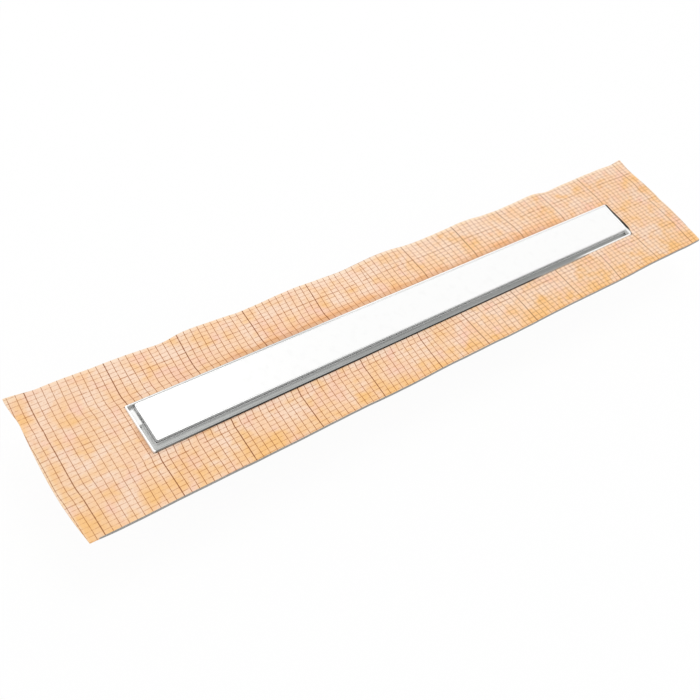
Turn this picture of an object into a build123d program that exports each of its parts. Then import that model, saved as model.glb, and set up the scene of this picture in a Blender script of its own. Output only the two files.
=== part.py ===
"""Linear shower drain: steel channel with a bonded sealing collar, a loose tray cover and a low trap.

Millimetres. X runs along the channel, Y across it, Z up. The origin is under the trap, on the floor.
"""
import os

from build123d import *

os.makedirs("parts", exist_ok=True)

# Channel, folded from one sheet with welded ends
sheet = 1.25
rim_length = 900.0
rim_width = 68.0
rim_corner = 2.5
rim_edge = 1.0
rim_rise = 5.0
ledge_drop = 7.5
ledge_width = 9.25
flange_width = 22.0
flange_corner = 6.0
trough_end_depth = 14.5
trough_fall = 6.0
trough_corner = 4.0
sump_length = 70.0
pot_depth = 5.0
pot_corner = 1.2

# Sealing collar, bonded a little off centre, and the tape that bonds it to the flange
collar_length = 1143.0
collar_width = 195.0
collar_thickness = 1.2
collar_corner = 3.0
collar_shift_x = 3.4
collar_shift_y = 1.0
window_clearance = 0.3
window_corner = 2.8
tape_thickness = 0.8
tape_inset = 1.5
bead_near = 0.6
bead_right = 3.2
bead_drop = 0.2
bead_stop = 330.0

# Cover: a steel tray with a white panel, loose in the rim, on feet that leave a way for water all round
slot_width = 4.8
cover_shift_x = 4.4
cover_shift_y = 4.5
tray_sheet = 0.8
tray_height = 6.0
tray_lift = 1.0
tray_corner = 2.0
panel_gap = 0.15
panel_proud = 0.3
panel_edge = 0.4
cover_foot_places = (-330.0, -120.0, 120.0, 330.0)
cover_foot_length = 18.0
cover_foot_wall = 4.0
cover_foot_side_gap = 6.0
cover_foot_top = 3.0
cover_foot_corner = 2.0
spacer_width = 5.0
spacer_length = 19.0
spacer_place = 13.6
spacer_drop = 0.4
spacer_edge = 0.6
spacer_arch_length = 9.0
spacer_arch_height = 2.0

# Trap, measured outwards from the bore of its dip tube
dip_bore = 18.0
dip_wall = 1.25
dip_flange_thickness = 2.0
dip_flange_inset = 1.0
dip_collar_length = 12.0
dip_collar_wall = 3.0
dip_floor = 1.5
dip_clearance = 0.4
dip_foot_gap = 5.0
ring_section = 2.4
ring_squeeze = 0.05
water_gap = 4.25
cup_wall = 1.5
cup_floor_gap = 1.5
cup_corner = 2.5
cup_arm_width = 6.0
cup_arm_count = 3
lift_gap = 0.75
spill_height = 6.0
clamp_wall = 1.75
clamp_lip = 2.0
clamp_thickness = 2.5
clamp_neck_length = 12.0
clamp_notch = 3.0
clamp_notch_count = 4
clamp_gap = 0.3
pot_gap = 0.3

# Trap housing with its outlet
housing_wall = 2.5
housing_gap = 8.5
housing_roof_rise = 0.5
base_lip = 5.0
mouth_wall = 2.5
mouth_clearance = 0.25
gasket_thickness = 2.0
gasket_lip = 7.0
outlet_diameter = 40.0
outlet_wall = 2.0
outlet_reach = 97.0
outlet_chamfer = 1.0
outlet_neck_bore = 31.0
socket_wall = 2.2
socket_depth = 20.0
socket_reach = 52.0
socket_clearance = 0.3
stop_rise = 2.0
stop_thickness = 2.0
seal_length = 5.0
seal_chamfer = 1.0
nut_wall = 4.0
nut_lip = 3.0
nut_grip_length = 14.0
nut_groove = 2.4
nut_groove_count = 18
nut_clearance = 0.15
nut_floor_gap = 0.4
rib_thickness = 2.5
rib_rise = 2.0
rib_count = 12
rib_headroom = 8.0

# Hair strainer over the trap
strainer_sheet = 1.0
strainer_height = 6.0
strainer_slope = 4.0
strainer_inset = 0.5
strainer_slot_width = 2.6
strainer_slot_length = 5.2
strainer_slot_count = 10
strainer_slot_row = 9.6
knob_diameter = 9.0
knob_height = 6.0
knob_cap = 3.0
knob_neck = 5.0
knob_edge = 1.0

# Levelling legs
leg_x = 330.0
bracket_sheet = 2.0
bracket_length = 30.0
bracket_drop = 11.0
bracket_edge = 0.9
bracket_reach = 28.0
bolt_diameter = 8.0
bolt_offset = 17.0
bolt_head_room = 3.0
bolt_chamfer = 0.8
bolt_hole_clearance = 0.3
nut_across = 13.0
nut_height = 6.5
thread_clearance = 0.05
pad_diameter = 32.0
pad_height = 8.0
pad_socket = 5.0
pad_chamfer = 2.0
pad_clearance = 0.1

# Outlet socket, and the nut on it, which just clears the floor
socket_bore = outlet_diameter + 2 * socket_clearance
socket_outer = socket_bore + 2 * socket_wall
nut_bore = socket_outer + 2 * nut_clearance
nut_outer = nut_bore + 2 * nut_wall
outlet_height = nut_outer / 2 + nut_floor_gap
housing_height = outlet_height + socket_outer / 2 + housing_roof_rise

# Levels, from the floor up
housing_roof = housing_height - housing_wall
pot_floor = housing_height + gasket_thickness + sheet
sump_floor = pot_floor + pot_depth
end_floor = sump_floor + trough_fall
ledge_top = end_floor + trough_end_depth
rim_top = ledge_top + ledge_drop
flange_top = rim_top - rim_rise
flange_under = flange_top - sheet
collar_bottom = flange_top + tape_thickness

# Plan sizes of the channel
rim_thickness = 2 * sheet
recess_length = rim_length - 2 * rim_thickness
recess_width = rim_width - 2 * rim_thickness
trough_length = recess_length - 2 * ledge_width
trough_width = recess_width - 2 * ledge_width
flange_length = rim_length + 2 * flange_width
flange_breadth = rim_width + 2 * flange_width
trough_side = trough_width / 2 + sheet

# Diameters of the trap, each from the piece inside it
dip_outer = dip_bore + 2 * dip_wall
cup_inner = dip_outer + 2 * water_gap
cup_outer = cup_inner + 2 * cup_wall
clamp_bore = cup_outer + 2 * lift_gap
clamp_neck = clamp_bore + 2 * clamp_wall
clamp_flange = clamp_neck + 2 * clamp_lip
dip_collar = clamp_bore - 2 * dip_clearance
dip_flange = clamp_flange - 2 * dip_flange_inset
pot_diameter = clamp_flange + 2 * (pot_corner + pot_gap)
pot_hole = clamp_neck + 2 * clamp_gap
mouth_bore = clamp_neck + 2 * mouth_clearance
chamber = cup_outer + 2 * housing_gap
housing_outer = chamber + 2 * housing_wall
gasket_outer = pot_hole + 2 * gasket_lip

# Heights inside the trap
clamp_top = pot_floor + clamp_thickness
dip_flange_top = clamp_top + dip_flange_thickness
dip_collar_bottom = clamp_top - dip_collar_length
clamp_bottom = pot_floor - clamp_neck_length
cup_rim = clamp_bottom - spill_height
cup_bottom = housing_wall + cup_floor_gap
dip_bottom = cup_bottom + cup_wall + dip_foot_gap


def trough_sections(grow):
    """Places and floor levels of the trough's four cross-sections, grown by one sheet or by nothing."""
    far = trough_length / 2 + grow
    near = sump_length / 2
    places = ((-far, end_floor), (-near, sump_floor), (near, sump_floor), (far, end_floor))
    return [(x, floor - grow) for x, floor in places]


def trough_body(grow):
    """The trough as a solid: U sections lofted along X from the ends to the sump, with the pot below."""
    with BuildPart() as body:
        for x, floor in trough_sections(grow):
            with BuildSketch(Plane.YZ.offset(x)):
                with Locations((0, floor)):
                    Rectangle(
                        trough_width + 2 * grow,
                        ledge_top - floor,
                        align=(Align.CENTER, Align.MIN),
                    )
                fillet(vertices().group_by(Axis.Y)[0], trough_corner + grow)
        loft(ruled=True)
        with BuildSketch(Plane.XY.offset(pot_floor - grow)):
            Circle(pot_diameter / 2 + grow)
        extrude(amount=pot_depth + trough_corner)
        fillet(edges().group_by(Axis.Z)[0], pot_corner + grow)
    return body.part


# Channel body
trough_outside = trough_body(sheet)
trough_inside = trough_body(0.0)

with BuildPart() as channel_body:
    with BuildSketch(Plane.XY.offset(flange_top)):
        RectangleRounded(flange_length, flange_breadth, flange_corner)
        Rectangle(recess_length, recess_width, mode=Mode.SUBTRACT)
    extrude(amount=-sheet)
    with BuildSketch(Plane.XY.offset(rim_top)):
        RectangleRounded(rim_length, rim_width, rim_corner)
        Rectangle(recess_length, recess_width, mode=Mode.SUBTRACT)
    extrude(amount=-(ledge_drop + sheet))
    fillet(edges().group_by(Axis.Z)[-1], rim_edge)
    with BuildSketch(Plane.XY.offset(ledge_top)):
        Rectangle(recess_length, recess_width)
        Rectangle(trough_length, trough_width, mode=Mode.SUBTRACT)
    extrude(amount=-sheet)
    add(trough_outside)
    add(trough_inside, mode=Mode.SUBTRACT)
    with BuildSketch(Plane.XY.offset(pot_floor)):
        Circle(pot_hole / 2)
    extrude(amount=-2 * sheet, mode=Mode.SUBTRACT)
channel_body.part.label = "channel_body"
export_step(channel_body.part, "parts/channel_body.step")

# Bond tape on the flange, squeezed out in a bead along the near side of the rim and its right end
bead_length = bead_stop + rim_length / 2

with BuildPart() as bond_tape:
    with BuildSketch(Plane.XY.offset(flange_top)):
        RectangleRounded(flange_length - 2 * tape_inset, flange_breadth - 2 * tape_inset, flange_corner)
        RectangleRounded(rim_length, rim_width, rim_corner, mode=Mode.SUBTRACT)
    extrude(amount=tape_thickness)
    with BuildSketch(Plane.XY.offset(flange_top)):
        with Locations((bead_stop, -rim_width / 2)):
            Rectangle(bead_length - rim_corner, bead_near, align=(Align.MAX, Align.MAX))
        with Locations((rim_length / 2, 0)):
            Rectangle(bead_right, rim_width - 2 * rim_corner, align=(Align.MIN, Align.CENTER))
    extrude(amount=rim_rise - bead_drop)
bond_tape.part.label = "bond_tape"
export_step(bond_tape.part, "parts/bond_tape.step")

# Sealing collar, its window cut just clear of the rim and the bead
window_length = rim_length + bead_right + 2 * window_clearance
window_width = rim_width + bead_near + 2 * window_clearance

with BuildPart() as membrane_collar:
    with BuildSketch(Plane.XY.offset(collar_bottom)):
        with Locations((collar_shift_x, collar_shift_y)):
            RectangleRounded(collar_length, collar_width, collar_corner)
        with Locations((bead_right / 2, -bead_near / 2)):
            RectangleRounded(window_length, window_width, window_corner, mode=Mode.SUBTRACT)
    extrude(amount=collar_thickness)
membrane_collar.part.label = "membrane_collar"
export_step(membrane_collar.part, "parts/membrane_collar.step")

# Cover tray, its edges folded up
tray_length = recess_length - 2 * slot_width
tray_width = recess_width - 2 * slot_width
tray_bottom = ledge_top + tray_lift
cover_centre = (cover_shift_x, cover_shift_y)

with BuildPart() as cover_tray:
    with BuildSketch(Plane.XY.offset(tray_bottom)):
        with Locations(cover_centre):
            RectangleRounded(tray_length, tray_width, tray_corner)
    extrude(amount=tray_height)
    offset(amount=-tray_sheet, openings=faces().sort_by(Axis.Z)[-1])
cover_tray.part.label = "cover_tray"
export_step(cover_tray.part, "parts/cover_tray.step")

# White panel in the tray
panel_inset = 2 * (tray_sheet + panel_gap)
with BuildPart() as cover_panel:
    with BuildSketch(Plane.XY.offset(tray_bottom + tray_sheet)):
        with Locations(cover_centre):
            RectangleRounded(
                tray_length - panel_inset,
                tray_width - panel_inset,
                tray_corner - tray_sheet,
            )
    extrude(amount=tray_height - tray_sheet + panel_proud)
    fillet(edges().group_by(Axis.Z)[-1], panel_edge)
cover_panel.part.label = "cover_panel"
export_step(cover_panel.part, "parts/cover_panel.step")

# Bridge feet that carry the tray, their soles cut to the fall of the trough floor
cover_foot_width = trough_width - 2 * cover_foot_side_gap
cover_foot_height = ledge_top - sump_floor

with BuildPart() as cover_feet:
    for x in cover_foot_places:
        with BuildSketch(Plane.YZ.offset(x - cover_foot_length / 2)):
            with Locations((0, sump_floor)):
                Rectangle(cover_foot_width, cover_foot_height, align=(Align.CENTER, Align.MIN))
                Rectangle(
                    cover_foot_width - 2 * cover_foot_wall,
                    cover_foot_height - cover_foot_top,
                    align=(Align.CENTER, Align.MIN),
                    mode=Mode.SUBTRACT,
                )
            fillet(vertices().group_by(Axis.Y)[-2], cover_foot_corner)
        extrude(amount=cover_foot_length)
    add(trough_inside, mode=Mode.INTERSECT)
    with BuildSketch(Plane.XY.offset(ledge_top)):
        for x in cover_foot_places:
            with Locations((x, 0)):
                Rectangle(cover_foot_length, cover_foot_width)
    extrude(amount=tray_lift)
cover_feet.part.label = "cover_feet"
export_step(cover_feet.part, "parts/cover_feet.step")

# Spacer block on the ledge at the left end, arched to let water by
spacer_spot = (-recess_length / 2, spacer_place)

with BuildPart() as end_spacer:
    with BuildSketch(Plane.XY.offset(ledge_top)):
        with Locations(spacer_spot):
            Rectangle(spacer_width, spacer_length, align=(Align.MIN, Align.CENTER))
    extrude(amount=ledge_drop - spacer_drop)
    chamfer(edges().group_by(Axis.Z)[-1], spacer_edge)
    with BuildSketch(Plane.XY.offset(ledge_top)):
        with Locations(spacer_spot):
            Rectangle(spacer_width, spacer_arch_length, align=(Align.MIN, Align.CENTER))
    extrude(amount=spacer_arch_height, mode=Mode.SUBTRACT)
end_spacer.part.label = "end_spacer"
export_step(end_spacer.part, "parts/end_spacer.step")

# Clamp ring, screwed down through the pot into the trap
with BuildPart() as clamp_ring:
    with BuildSketch(Plane.XY.offset(pot_floor)):
        Circle(clamp_flange / 2)
    extrude(amount=clamp_thickness)
    with BuildSketch(Plane.XY.offset(pot_floor)):
        Circle(clamp_neck / 2)
    extrude(amount=-clamp_neck_length)
    with BuildSketch(Plane.XY.offset(clamp_top)):
        Circle(clamp_bore / 2)
    extrude(amount=-(clamp_thickness + clamp_neck_length), mode=Mode.SUBTRACT)
    with BuildSketch(Plane.XY.offset(clamp_top)):
        with PolarLocations(clamp_flange / 2, clamp_notch_count):
            Rectangle(clamp_lip, clamp_notch)
    extrude(amount=-clamp_thickness, mode=Mode.SUBTRACT)
clamp_ring.part.label = "clamp_ring"
export_step(clamp_ring.part, "parts/clamp_ring.step")

# Gasket between the pot and the trap
with BuildPart() as mouth_gasket:
    with BuildSketch(Plane.XY.offset(housing_height)):
        Circle(gasket_outer / 2)
        Circle(pot_hole / 2, mode=Mode.SUBTRACT)
    extrude(amount=gasket_thickness)
mouth_gasket.part.label = "mouth_gasket"
export_step(mouth_gasket.part, "parts/mouth_gasket.step")

# Dip tube: flange, grooved collar and tube in one turned profile
groove_level = (clamp_top + dip_collar_bottom) / 2
groove_depth = ring_section - dip_clearance + 2 * ring_squeeze
dip_collar_inner = dip_collar / 2 - dip_collar_wall

with BuildPart() as dip_tube:
    with BuildSketch(Plane.XZ):
        with BuildLine():
            Polyline(
                (dip_bore / 2, dip_bottom),
                (dip_outer / 2, dip_bottom),
                (dip_outer / 2, dip_collar_bottom),
                (dip_collar / 2, dip_collar_bottom),
                (dip_collar / 2, clamp_top),
                (dip_flange / 2, clamp_top),
                (dip_flange / 2, dip_flange_top),
                (dip_collar_inner, dip_flange_top),
                (dip_collar_inner, dip_collar_bottom + dip_floor + dip_collar_inner - dip_bore / 2),
                (dip_bore / 2, dip_collar_bottom + dip_floor),
                close=True,
            )
        make_face()
        with Locations((dip_collar / 2, groove_level)):
            Rectangle(2 * groove_depth, ring_section + 2 * ring_squeeze, mode=Mode.SUBTRACT)
    revolve(axis=Axis.Z)
dip_tube.part.label = "dip_tube"
export_step(dip_tube.part, "parts/dip_tube.step")

# Seal ring in the collar's groove
with BuildPart() as dip_seal_ring:
    with BuildSketch(Plane.XZ):
        with Locations((clamp_bore / 2 - ring_squeeze - ring_section / 2, groove_level)):
            Rectangle(ring_section, ring_section)
    revolve(axis=Axis.Z)
dip_seal_ring.part.label = "dip_seal_ring"
export_step(dip_seal_ring.part, "parts/dip_seal_ring.step")

# Trap cup, hung from the dip tube on arms
with BuildPart() as trap_cup:
    with BuildSketch(Plane.XY.offset(cup_bottom)):
        Circle(cup_outer / 2)
    extrude(amount=cup_rim - cup_bottom)
    chamfer(edges().group_by(Axis.Z)[0], cup_corner)
    with BuildSketch(Plane.XY.offset(cup_rim)):
        Circle(cup_inner / 2)
    extrude(amount=-(cup_rim - cup_bottom - cup_wall), mode=Mode.SUBTRACT)
    with BuildSketch(Plane.XY.offset(cup_rim)):
        Circle(cup_outer / 2)
        Circle(cup_inner / 2, mode=Mode.SUBTRACT)
        with PolarLocations(cup_outer / 2, cup_arm_count):
            Rectangle(2 * water_gap, cup_arm_width, mode=Mode.INTERSECT)
    extrude(amount=dip_collar_bottom - cup_rim)
trap_cup.part.label = "trap_cup"
export_step(trap_cup.part, "parts/trap_cup.step")

# Trap housing: round chamber on a base, threaded mouth, outlet socket and moulded ribs
outlet_plane = Plane.XZ.offset(-socket_reach)
outlet_axis = (0, outlet_height)

with BuildPart() as trap_housing:
    with BuildSketch(Plane.XY):
        Circle(housing_outer / 2 + base_lip)
    extrude(amount=housing_wall)
    with BuildSketch(Plane.XY):
        Circle(housing_outer / 2)
        with PolarLocations(housing_outer / 2, rib_count):
            Rectangle(2 * rib_rise, rib_thickness)
    extrude(amount=housing_height - rib_headroom)
    with BuildSketch(Plane.XY):
        Circle(housing_outer / 2)
    extrude(amount=housing_height)
    with BuildSketch(outlet_plane):
        with Locations(outlet_axis):
            Circle(socket_outer / 2)
    extrude(amount=socket_reach)
    with BuildSketch(Plane.XY.offset(housing_wall)):
        Circle(chamber / 2)
    extrude(amount=housing_roof - housing_wall, mode=Mode.SUBTRACT)
    with BuildSketch(Plane.XY.offset(housing_roof)):
        Circle(mouth_bore / 2 + mouth_wall)
    extrude(amount=clamp_bottom - housing_roof)
    with BuildSketch(Plane.XY.offset(housing_height)):
        Circle(mouth_bore / 2)
    extrude(amount=clamp_bottom - housing_height, mode=Mode.SUBTRACT)
    with BuildSketch(outlet_plane):
        with Locations(outlet_axis):
            Circle(outlet_neck_bore / 2)
    extrude(amount=socket_reach - mouth_bore / 2 - mouth_wall, mode=Mode.SUBTRACT)
    with BuildSketch(outlet_plane):
        with Locations(outlet_axis):
            Circle(socket_bore / 2)
    extrude(amount=socket_depth, mode=Mode.SUBTRACT)
trap_housing.part.label = "trap_housing"
export_step(trap_housing.part, "parts/trap_housing.step")

# Outlet seal, pressed on the end of the socket by the nut
seal_end = socket_reach + seal_length
seal_plane = Plane.XZ.offset(-seal_end)
pipe_bore = outlet_diameter + 2 * nut_clearance

with BuildPart() as outlet_seal:
    with BuildSketch(seal_plane):
        with Locations(outlet_axis):
            Circle(socket_outer / 2)
            Circle(pipe_bore / 2, mode=Mode.SUBTRACT)
    extrude(amount=seal_length)
    chamfer(edges().group_by(Axis.Y)[-1].sort_by(SortBy.LENGTH)[-1], seal_chamfer)
outlet_seal.part.label = "outlet_seal"
export_step(outlet_seal.part, "parts/outlet_seal.step")

# Union nut with grip grooves
nut_end = seal_end + nut_lip
nut_length = nut_grip_length + seal_length + nut_lip
nut_plane = Plane.XZ.offset(-nut_end)

with BuildPart() as outlet_nut:
    with BuildSketch(nut_plane):
        with Locations(outlet_axis):
            Circle(nut_outer / 2)
            with PolarLocations(nut_outer / 2, nut_groove_count):
                Circle(nut_groove / 2, mode=Mode.SUBTRACT)
            Circle(pipe_bore / 2, mode=Mode.SUBTRACT)
    extrude(amount=nut_length)
    with BuildSketch(seal_plane):
        with Locations(outlet_axis):
            Circle(nut_bore / 2)
    extrude(amount=nut_length, mode=Mode.SUBTRACT)
outlet_nut.part.label = "outlet_nut"
export_step(outlet_nut.part, "parts/outlet_nut.step")

# Outlet spigot, pushed home to its stop against the nut
spigot_root = socket_reach - socket_depth + socket_clearance
spigot_plane = Plane.XZ.offset(-spigot_root)

with BuildPart() as outlet_spigot:
    with BuildSketch(spigot_plane):
        with Locations(outlet_axis):
            Circle(outlet_diameter / 2)
    extrude(amount=spigot_root - outlet_reach)
    chamfer(edges().group_by(Axis.Y)[-1], outlet_chamfer)
    with BuildSketch(nut_plane):
        with Locations(outlet_axis):
            Circle(outlet_diameter / 2 + stop_rise)
    extrude(amount=-stop_thickness)
    with BuildSketch(spigot_plane):
        with Locations(outlet_axis):
            Circle(outlet_diameter / 2 - outlet_wall)
    extrude(amount=spigot_root - outlet_reach, mode=Mode.SUBTRACT)
outlet_spigot.part.label = "outlet_spigot"
export_step(outlet_spigot.part, "parts/outlet_spigot.step")

# Hair strainer: a pressed disc with sloping sides, slotted on top, with a lifting knob
strainer_radius = dip_flange / 2 - strainer_inset
strainer_top = dip_flange_top + strainer_height
strainer_under = strainer_top - strainer_sheet

with BuildPart() as hair_strainer:
    with BuildSketch(Plane.XZ):
        with BuildLine():
            Polyline(
                (0, strainer_top),
                (strainer_radius - strainer_slope, strainer_top),
                (strainer_radius, dip_flange_top),
                (strainer_radius - strainer_sheet, dip_flange_top),
                (strainer_radius - strainer_slope - strainer_sheet, strainer_under),
                (0, strainer_under),
                close=True,
            )
        make_face()
    revolve(axis=Axis.Z)
    with BuildSketch(Plane.XY.offset(strainer_top)):
        with PolarLocations(strainer_slot_row, strainer_slot_count):
            SlotCenterToCenter(strainer_slot_length, strainer_slot_width)
    extrude(amount=-strainer_sheet, mode=Mode.SUBTRACT)
    with BuildSketch(Plane.XY.offset(strainer_under)):
        Circle(knob_neck / 2)
    extrude(amount=strainer_sheet + knob_height)
    with BuildSketch(Plane.XY.offset(strainer_top + knob_height)):
        Circle(knob_diameter / 2)
    extrude(amount=-knob_cap)
    chamfer(edges().group_by(Axis.Z)[-1], knob_edge)
hair_strainer.part.label = "hair_strainer"
export_step(hair_strainer.part, "parts/hair_strainer.step")

# Leg brackets, welded to the sides of the trough
bracket_top = ledge_top - sheet
bracket_bottom = bracket_top - bracket_drop
bracket_shelf = bracket_bottom + bracket_sheet
bolt_y = trough_side + bolt_offset

with BuildPart() as leg_brackets:
    for x in (-leg_x, leg_x):
        with BuildSketch(Plane.YZ.offset(x - bracket_length / 2)):
            with BuildLine():
                FilletPolyline(
                    (trough_side, bracket_bottom),
                    (trough_side + bracket_reach, bracket_bottom),
                    (trough_side + bracket_reach, bracket_shelf),
                    (trough_side + bracket_sheet, bracket_shelf),
                    (trough_side + bracket_sheet, bracket_top),
                    (trough_side, bracket_top),
                    radius=bracket_edge,
                    close=True,
                )
            make_face()
            mirror(about=Plane.YZ)
        extrude(amount=bracket_length)
    with BuildSketch(Plane.XY.offset(bracket_shelf)):
        with GridLocations(2 * leg_x, 2 * bolt_y, 2, 2):
            Circle(bolt_diameter / 2 + bolt_hole_clearance)
    extrude(amount=-bracket_sheet, mode=Mode.SUBTRACT)
leg_brackets.part.label = "leg_brackets"
export_step(leg_brackets.part, "parts/leg_brackets.step")

# Levelling bolts
bolt_bottom = pad_height - pad_socket
bolt_top = flange_under - bolt_head_room

with BuildPart() as levelling_bolts:
    with BuildSketch(Plane.XY.offset(bolt_bottom)):
        with GridLocations(2 * leg_x, 2 * bolt_y, 2, 2):
            Circle(bolt_diameter / 2)
    extrude(amount=bolt_top - bolt_bottom)
    chamfer(edges().group_by(Axis.Z)[-1], bolt_chamfer)
levelling_bolts.part.label = "levelling_bolts"
export_step(levelling_bolts.part, "parts/levelling_bolts.step")

# Lock nuts, one on each side of every bracket
with BuildPart() as lock_nuts:
    for level in (bracket_shelf, bracket_bottom - nut_height):
        with BuildSketch(Plane.XY.offset(level)):
            with GridLocations(2 * leg_x, 2 * bolt_y, 2, 2):
                RegularPolygon(nut_across / 2, 6, major_radius=False)
                Circle(bolt_diameter / 2 + thread_clearance, mode=Mode.SUBTRACT)
        extrude(amount=nut_height)
lock_nuts.part.label = "lock_nuts"
export_step(lock_nuts.part, "parts/lock_nuts.step")

# Foot pads
with BuildPart() as foot_pads:
    with BuildSketch(Plane.XY):
        with GridLocations(2 * leg_x, 2 * bolt_y, 2, 2):
            Circle(pad_diameter / 2)
    extrude(amount=pad_height)
    chamfer(edges().group_by(Axis.Z)[-1], pad_chamfer)
    with BuildSketch(Plane.XY.offset(pad_height)):
        with GridLocations(2 * leg_x, 2 * bolt_y, 2, 2):
            Circle(bolt_diameter / 2 + pad_clearance)
    extrude(amount=-pad_socket, mode=Mode.SUBTRACT)
foot_pads.part.label = "foot_pads"
export_step(foot_pads.part, "parts/foot_pads.step")
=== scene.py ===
"""Linear shower drain, dressed round its packed CAD frame.

Metres. X runs along the channel, Y across it towards the outlet, Z up from the floor.
"""

import math
from typing import NamedTuple

import bmesh
import bpy
from bpy.props import FloatProperty, FloatVectorProperty, IntProperty, PointerProperty
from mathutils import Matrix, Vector, noise


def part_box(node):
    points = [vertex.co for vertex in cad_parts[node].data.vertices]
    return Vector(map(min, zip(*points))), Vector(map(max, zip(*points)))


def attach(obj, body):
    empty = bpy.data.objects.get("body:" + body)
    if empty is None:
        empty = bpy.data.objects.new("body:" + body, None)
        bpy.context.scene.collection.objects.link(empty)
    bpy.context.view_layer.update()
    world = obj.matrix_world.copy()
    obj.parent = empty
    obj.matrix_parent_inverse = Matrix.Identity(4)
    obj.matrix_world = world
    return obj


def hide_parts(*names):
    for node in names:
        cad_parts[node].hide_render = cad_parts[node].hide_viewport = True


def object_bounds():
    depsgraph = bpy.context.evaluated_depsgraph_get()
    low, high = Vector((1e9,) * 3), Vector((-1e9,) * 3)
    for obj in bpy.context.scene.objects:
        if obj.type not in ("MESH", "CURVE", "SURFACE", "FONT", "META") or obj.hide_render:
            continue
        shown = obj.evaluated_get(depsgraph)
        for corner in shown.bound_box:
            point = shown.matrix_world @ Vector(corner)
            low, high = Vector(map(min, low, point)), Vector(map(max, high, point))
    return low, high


bl_info = {
    "name": "Linear shower drain",
    "version": (1, 0, 0),
    "blender": (4, 5, 0),
    "location": "View3D > Sidebar > Drain",
    "description": "Dresses a channel drain: printed collar, brushed channel, cover, trap and legs",
    "category": "Object",
}

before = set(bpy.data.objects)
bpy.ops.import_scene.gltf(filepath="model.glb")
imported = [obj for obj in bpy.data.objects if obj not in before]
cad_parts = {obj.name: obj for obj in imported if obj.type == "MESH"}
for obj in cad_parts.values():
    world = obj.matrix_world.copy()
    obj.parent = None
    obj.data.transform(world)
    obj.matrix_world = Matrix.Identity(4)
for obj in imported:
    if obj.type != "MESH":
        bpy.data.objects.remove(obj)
cad_low, cad_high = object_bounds()
collar_low, collar_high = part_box("membrane_collar")
flange_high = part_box("channel_body")[1]
tray_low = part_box("cover_tray")[0]
bracket_low, bracket_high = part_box("leg_brackets")
bolt_low, bolt_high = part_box("levelling_bolts")


def number(name, description, default, **kind):
    """A number that a user may change."""
    return FloatProperty(name=name, description=description, default=default, **kind)


def length(name, description, default):
    """A size in metres."""
    return number(name, description, default, unit="LENGTH", precision=5)


def share(name, description, default):
    """A plain number between 0 and 1."""
    return number(name, description, default, subtype="FACTOR", min=0.0, max=1.0)


def vector(name, description, default, **kind):
    """A few numbers that belong together."""
    return FloatVectorProperty(name=name, description=description, default=default, size=len(default), **kind)


def colour(name, description, default):
    """A colour of a finish, in linear values."""
    return vector(name, description, (*default, 1.0), subtype="COLOR", min=0.0, max=1.0)


def corner(name, default):
    """How far a corner of the collar is pulled along X and Y."""
    return vector(name, "How far the corner is pulled out of square", default, unit="LENGTH")


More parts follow.
